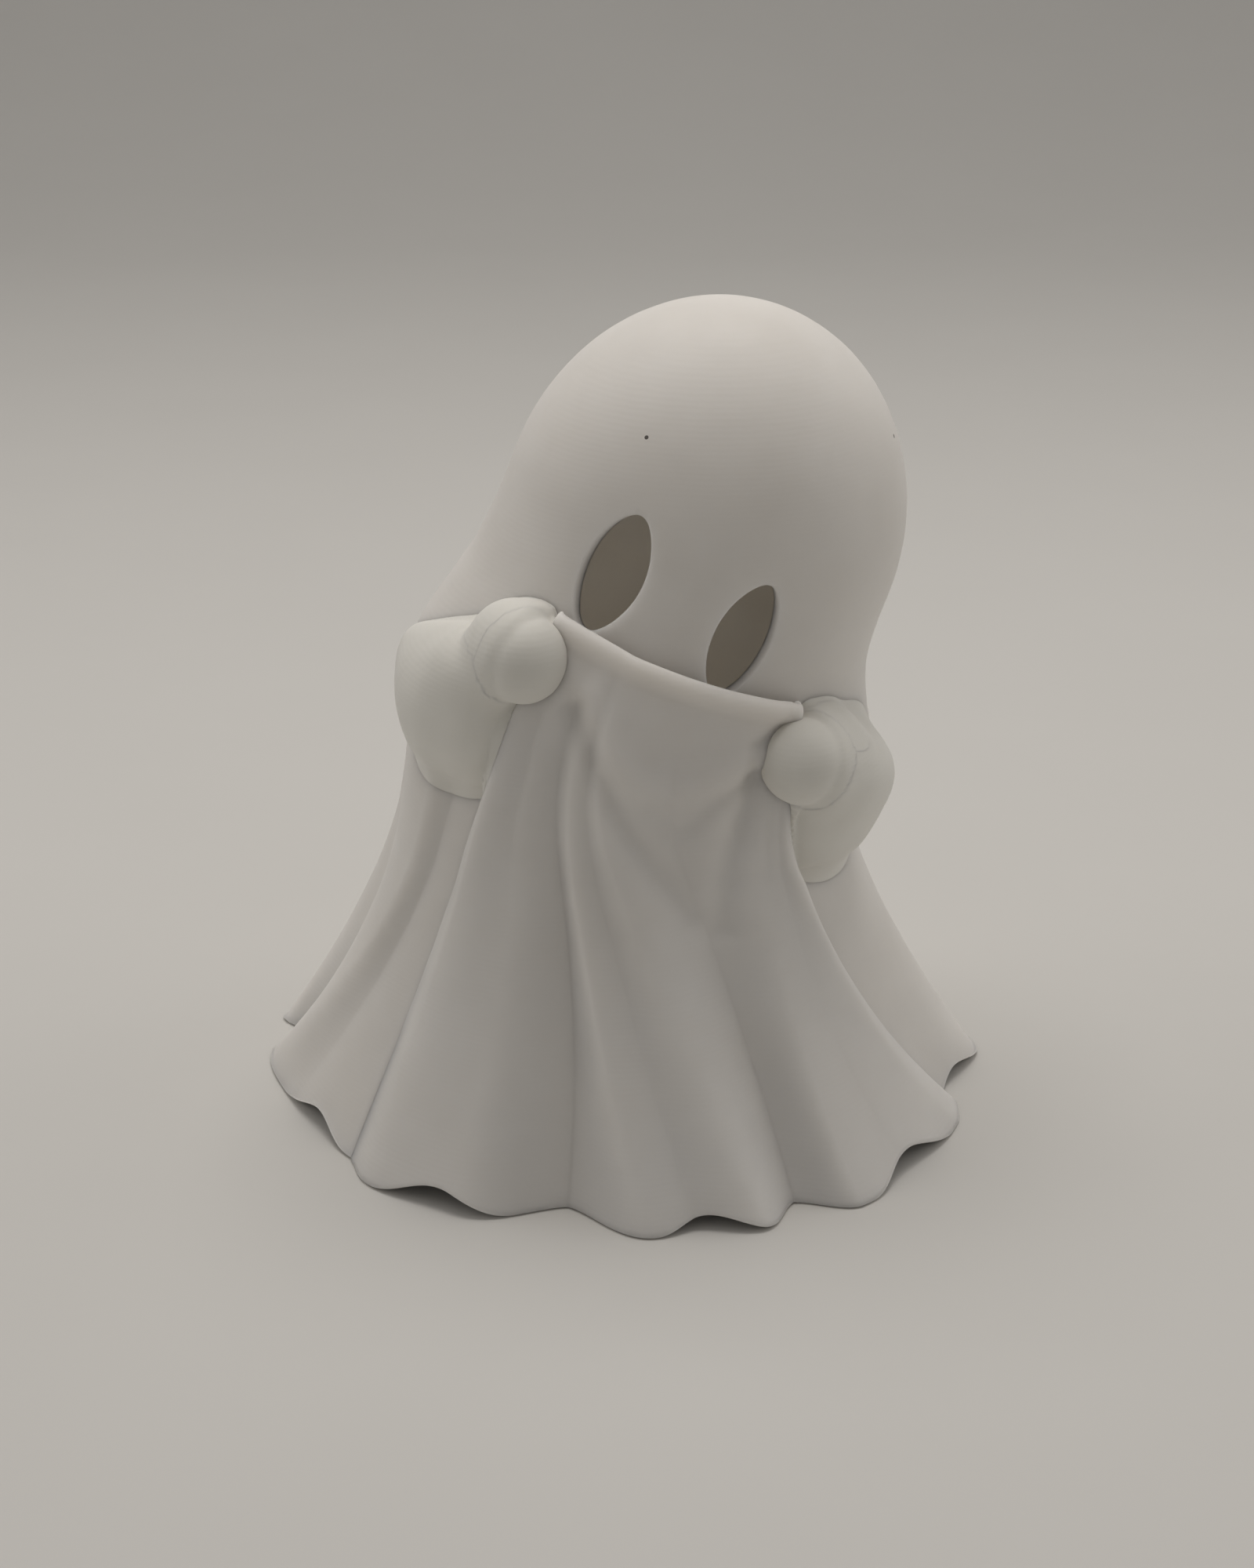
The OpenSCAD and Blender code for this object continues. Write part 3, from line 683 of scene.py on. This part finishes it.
def sleeve_height(a, s, sleeve):
    """Height of a sleeve above what it lies on: steep at its top and inner side, soft elsewhere."""
    x = np.radians(a - sleeve["angle"]) * WAIST_R
    y = s - sleeve["level"]
    inward = x * sleeve["side"]
    top = sleeve["above"] + sleeve["rise"] * np.minimum(inward, WRIST)
    top = top - TOP_SLOPE * np.maximum(inward - WRIST, 0)
    low = -sleeve["below"]
    t = (y - low) / np.maximum(top - low, 1)
    peak = sleeve["peak"]
    rise = mix(ease(t / peak), np.sin(np.pi / 2 * np.clip(t / peak, 0, 1)), sleeve["crisp"])
    fall = np.sqrt(np.clip(1 - ((t - peak) / (1 - peak)) ** 2, 0, 1))
    shape = np.where(t < peak, rise, fall)
    outer = ease((inward + sleeve["outer"]) / sleeve["soft"])
    edge = sleeve["inner"] + sleeve["slant"] * y
    past = np.clip((inward - edge + INNER_ROUND) / INNER_ROUND, 0, 2)
    inner = np.sqrt(np.clip(1 - past ** 2, 0, 1))
    width = sleeve["outer"] + sleeve["inner"]
    tall = mix(*sleeve["height"], ease((inward + sleeve["outer"]) / width))
    cuff = sleeve["cuff"] * ease((y - low) / CUFF_UP) * ease((1 - t) * CUFF_IN)
    h = (cuff + (tall - sleeve["cuff"]) * shape) * outer * inner
    below = np.minimum.reduce([(y - low) * DIVE_LOW, (1 - t) * DIVE_TOP, (edge - inward) * DIVE_INNER,
                               (inward + sleeve["outer"]) * DIVE_OUTER, np.zeros_like(y)])
    return np.where(below < 0, np.maximum(below, -DIVE_DEPTH), h - DIVE_LIFT)


# The arms' grid, its lowest radius, and how far the cut faces between the pieces sink in
ARM_CELL, ARM_FROM_R, HUB_DEPTH = 0.32, 20.5, 2.0
# Joins narrow to the least one past the inner side of the thumb, over these widths
LEAST_JOIN, LOBE_NARROWS, THUMB_LIMIT, THUMB_NARROWS = 0.4, 4, 2, 3


def arm(side, window, sleeve, filling, fingers, thumb):
    """One arm within a window (angles, levels, highest radius), parted into its three pieces."""
    a = np.arange(window[0], window[1], np.degrees(ARM_CELL / WAIST_R))
    s = np.arange(window[2], window[3], ARM_CELL)
    r = np.arange(ARM_FROM_R, window[4], ARM_CELL)
    flat_a, flat_s = np.meshgrid(a, s, indexing="ij")
    base = under_r(flat_a, flat_s)
    height = sleeve_height(flat_a, flat_s, sleeve)

    def field(grid):
        """All forms at points given in grid units, and which of the three is nearest."""
        ga = np.interp(grid[..., 0], np.arange(len(a)), a)
        gs = np.interp(grid[..., 1], np.arange(len(s)), s)
        gr = r[0] + grid[..., 2] * ARM_CELL
        xyz = place(ga, gs, gr)
        i = np.clip(grid[..., 0], 0, len(a) - 1.001)
        j = np.clip(grid[..., 1], 0, len(s) - 1.001)
        i0, j0 = i.astype(int), j.astype(int)
        ti, tj = i - i0, j - j0

        def sample(t):
            """Value between the four grid values round each point."""
            return mix(mix(t[i0, j0], t[i0 + 1, j0], ti),
                       mix(t[i0, j0 + 1], t[i0 + 1, j0 + 1], ti), tj)

        floor = sample(base)
        inward = np.radians(ga - thumb["at"][0][0]) * WAIST_R * sleeve["side"]
        under = gr - floor - sample(height)
        for lobe in filling:
            narrow = ease((inward + lobe["limit"]) / LOBE_NARROWS)
            join = mix(lobe["join"], LEAST_JOIN, narrow)
            under = soft_join(under, lobe_field(xyz, *lobe["at"]), join)
        forms = [under, lobe_field(xyz, *fingers["at"]), lobe_field(xyz, *thumb["at"])]
        joined = soft_join(forms[0], forms[1], fingers["join"])
        narrow = ease((inward + THUMB_LIMIT) / THUMB_NARROWS)
        joined = soft_join(joined, forms[2], mix(thumb["join"], LEAST_JOIN, narrow))
        return np.maximum(joined, floor - DIVE_DEPTH - gr), np.argmin(forms, 0)

    grid = np.stack(np.meshgrid(np.arange(len(a)), np.arange(len(s)), np.arange(len(r)),
                                indexing="ij"), -1).astype(float)
    f = field(grid)[0]
    f[[0, -1]] = f[:, [0, -1]] = 1
    f[:, :, [0, -1]] = 1
    points, quads = surface_net(f)
    kind = field(points)[1]
    xyz = place(np.interp(points[:, 0], np.arange(len(a)), a),
                np.interp(points[:, 1], np.arange(len(s)), s),
                r[0] + points[:, 2] * ARM_CELL)
    face_kind = np.median(kind[quads], 1).astype(int)
    whole = mesh_object(side + "_arm", xyz, quads)
    print_mesh(whole, solid_white)
    whole_normals = np.array([v.vector for v in whole.data.vertex_normals])
    for number, name in enumerate(("sleeve", "hand", "thumb")):
        part = bmesh.new()
        part.from_mesh(whole.data)
        part.faces.ensure_lookup_table()
        first = part.verts.layers.int.new("first")
        skin = part.faces.layers.int.new("skin")
        for i, vert in enumerate(part.verts):
            vert[first] = i
        for face in part.faces:
            face[skin] = 1
        bmesh.ops.delete(part, geom=[part.faces[i] for i in np.flatnonzero(face_kind != number)],
                         context="FACES")
        # Each open rim is closed by a fan whose hub sinks in, so that it can't poke out
        open_edges = [e for e in part.edges if e.is_boundary]
        while open_edges:
            rim, front = [], [open_edges.pop()]
            while front:
                edge = front.pop()
                rim.append(edge)
                for vert in edge.verts:
                    near = [e for e in vert.link_edges if e in open_edges]
                    open_edges = [e for e in open_edges if e not in near]
                    front += near
            corners = list(dict.fromkeys(v for e in rim for v in e.verts))
            middle = np.mean([v.co for v in corners], 0)
            outward = whole_normals[[v[first] for v in corners]].mean(0)
            sunk = HUB_DEPTH * MM * outward / np.linalg.norm(outward)
            hub = part.verts.new(middle - sunk)
            hub[first] = -1
            for edge in rim:
                loop = edge.link_loops[0]
                part.faces.new((loop.link_loop_next.vert, loop.vert, hub))
        part.normal_update()
        mesh = bpy.data.meshes.new("%s_%s_print" % (side, name))
        # The skin keeps the whole arm's normals, so that no seam shows between the pieces
        normals = [tuple(whole_normals[vert[first]] if face[skin] else face.normal)
                   for face in part.faces for vert in face.verts]
        part.to_mesh(mesh)
        part.free()
        mesh.materials.append(solid_white)
        mesh.shade_smooth()
        mesh.normals_split_custom_set(normals)
        piece = bpy.data.objects.new(mesh.name, mesh)
        bpy.context.scene.collection.objects.link(piece)
        finish_piece(piece, "%s_%s" % (side, name))
    bpy.data.objects.remove(whole)


# A sleeve: angle and level of its middle, the side that its hand is on, its reach above, below,
# outwards (soft: how slowly it runs out) and inwards (slant: of that edge), its height outwards
# and inwards, where it is highest, how crisply it comes up, its cuff and the rise of its top.
# A lobe: angle, level and radius of its middle, its three radii and its turn, then its join.
arm("left", (-116, -16, 40, 74, 40),
    dict(angle=-60, level=51.5, side=1, above=7.4, below=5.6, outer=24, soft=13, inner=11.2, slant=0.05,
         height=(0.8, 3.0), peak=0.66, crisp=0.7, cuff=0.2, rise=0.35),
    [dict(at=((-51.5, 51.6, 26.0), (8.6, 6.4, 7.0), 0.3), join=7.0, limit=2),
     dict(at=((-43, 57.0, 28.0), (6.0, 5.0, 4.5), 0.4), join=5.0, limit=3)],
    dict(at=((-41, 60.2, 27.1), (5.4, 5.6, 5.2), 0.0), join=2.0),
    dict(at=((-34, 60.0, 29.2), (4.9, 5.0, 5.3), 0.0), join=4.0))
arm("right", (22, 122, 30, 76, 42),
    dict(angle=64, level=49.5, side=-1, above=6, below=13.0, outer=18, soft=16, inner=12, slant=0.24,
         height=(1.0, 3.5), peak=0.8, crisp=0.8, cuff=0.5, rise=0.0),
    [dict(at=((62.5, 53.2, 27.0), (9.6, 7.3, 5.9), -0.1), join=5.0, limit=2),
     dict(at=((64.5, 44.5, 26.8), (9.6, 5.8, 7.0), -0.1), join=5.0, limit=1),
     dict(at=((49.5, 55.6, 28.2), (6.4, 5.2, 4.6), -0.2), join=5.0, limit=3)],
    dict(at=((51, 58.4, 27.0), (5.4, 5.8, 5.3), 0.0), join=2.0),
    dict(at=((39.8, 57.8, 29.3), (5.2, 5.0, 5.2), 0.0), join=4.0))

# ---------------------------------------------------------------------------
# Studio: a pale paper sweep that rises behind the figure, a soft light overhead
# and a little behind it, a weaker one at each side, and a pale room all round.

SWEEP_W, SWEEP_BACK, SWEEP_FRONT, SWEEP_R, SWEEP_TOP = 3.0, 1.1, -1.0, 0.6, 2.0
PAPER_TINTS = [(0.61, 0.6, 0.577, 1), (0.63, 0.62, 0.597, 1)]
profile = [(SWEEP_FRONT, 0.0)]
profile += [(SWEEP_BACK - SWEEP_R + SWEEP_R * np.sin(t), SWEEP_R - SWEEP_R * np.cos(t))
            for t in np.linspace(0, np.pi / 2, 25)]
profile += [(SWEEP_BACK, SWEEP_TOP)]
sweep_mesh = bpy.data.meshes.new("paper_sweep")
count = len(profile)
sweep_mesh.from_pydata(
    [(x, y, z) for x in (-SWEEP_W, SWEEP_W) for y, z in profile], [],
    [(i, count + i, count + i + 1, i + 1) for i in range(count - 1)])
sweep_mesh.shade_smooth()
sweep = bpy.data.objects.new("paper_sweep", sweep_mesh)
bpy.context.scene.collection.objects.link(sweep)
paper = bpy.data.materials.new("pale_paper")
paper.use_nodes = True
tree = paper.node_tree
shader = tree.nodes["Principled BSDF"]
where = shader_node(tree, "ShaderNodeTexCoord")
fibres = shader_node(tree, "ShaderNodeTexNoise", Scale=25.0, Detail=6.0)
tint = shader_node(tree, "ShaderNodeValToRGB")
for stop, colour in zip(tint.color_ramp.elements, PAPER_TINTS):
    stop.color = colour
tree.links.new(where.outputs["Object"], fibres.inputs["Vector"])
tree.links.new(fibres.outputs["Fac"], tint.inputs["Fac"])
tree.links.new(tint.outputs["Color"], shader.inputs["Base Color"])
shader.inputs["Roughness"].default_value = 0.85
shader.inputs["Specular IOR Level"].default_value = 0.2
sweep_mesh.materials.append(paper)


AIM = (0, 0, 0.05)


def soft_light(name, at, size, power, colour):
    """Rectangular lamp that points at the middle of the figure."""
    lamp = bpy.data.lights.new(name, "AREA")
    lamp.shape, lamp.size, lamp.size_y = "RECTANGLE", size[0], size[1]
    lamp.energy, lamp.color = power, colour
    light = bpy.data.objects.new(name, lamp)
    light.location = at
    light.rotation_euler = (Vector(AIM) - Vector(at)).to_track_quat("-Z", "Y").to_euler()
    bpy.context.scene.collection.objects.link(light)


soft_light("overhead", (0.0, 0.10, 0.55), (0.4, 0.35), 1.5, (1.0, 0.96, 0.92))
soft_light("left_side", (-0.55, 0.12, 0.32), (0.4, 0.4), 0.42, (1.0, 0.97, 0.94))
soft_light("right_side", (0.55, 0.16, 0.26), (0.4, 0.4), 0.5, (1.0, 0.97, 0.94))
world = bpy.data.worlds.new("room")
bpy.context.scene.world = world
world.use_nodes = True
room = world.node_tree.nodes["Background"]
room.inputs["Color"].default_value = (1.0, 0.97, 0.935, 1)
room.inputs["Strength"].default_value = 0.335

# Camera: 70 mm lens, looking 22 degrees down at the front of the figure
PITCH, DISTANCE, TARGET = np.radians(22), 0.371, (0.0005, -0.0128, 0.0449)
lens = bpy.data.cameras.new("front_camera")
lens.lens, lens.sensor_fit, lens.sensor_height = 70, "VERTICAL", 36
lens.clip_start, lens.clip_end = 0.01, 20
camera = bpy.data.objects.new("front_camera", lens)
camera.location = (TARGET[0], TARGET[1] - DISTANCE * np.cos(PITCH),
                   TARGET[2] + DISTANCE * np.sin(PITCH))
camera.rotation_euler = (np.pi / 2 - PITCH, 0, 0)
bpy.context.scene.collection.objects.link(camera)
bpy.context.scene.camera = camera
bpy.context.scene.view_settings.view_transform = "Standard"
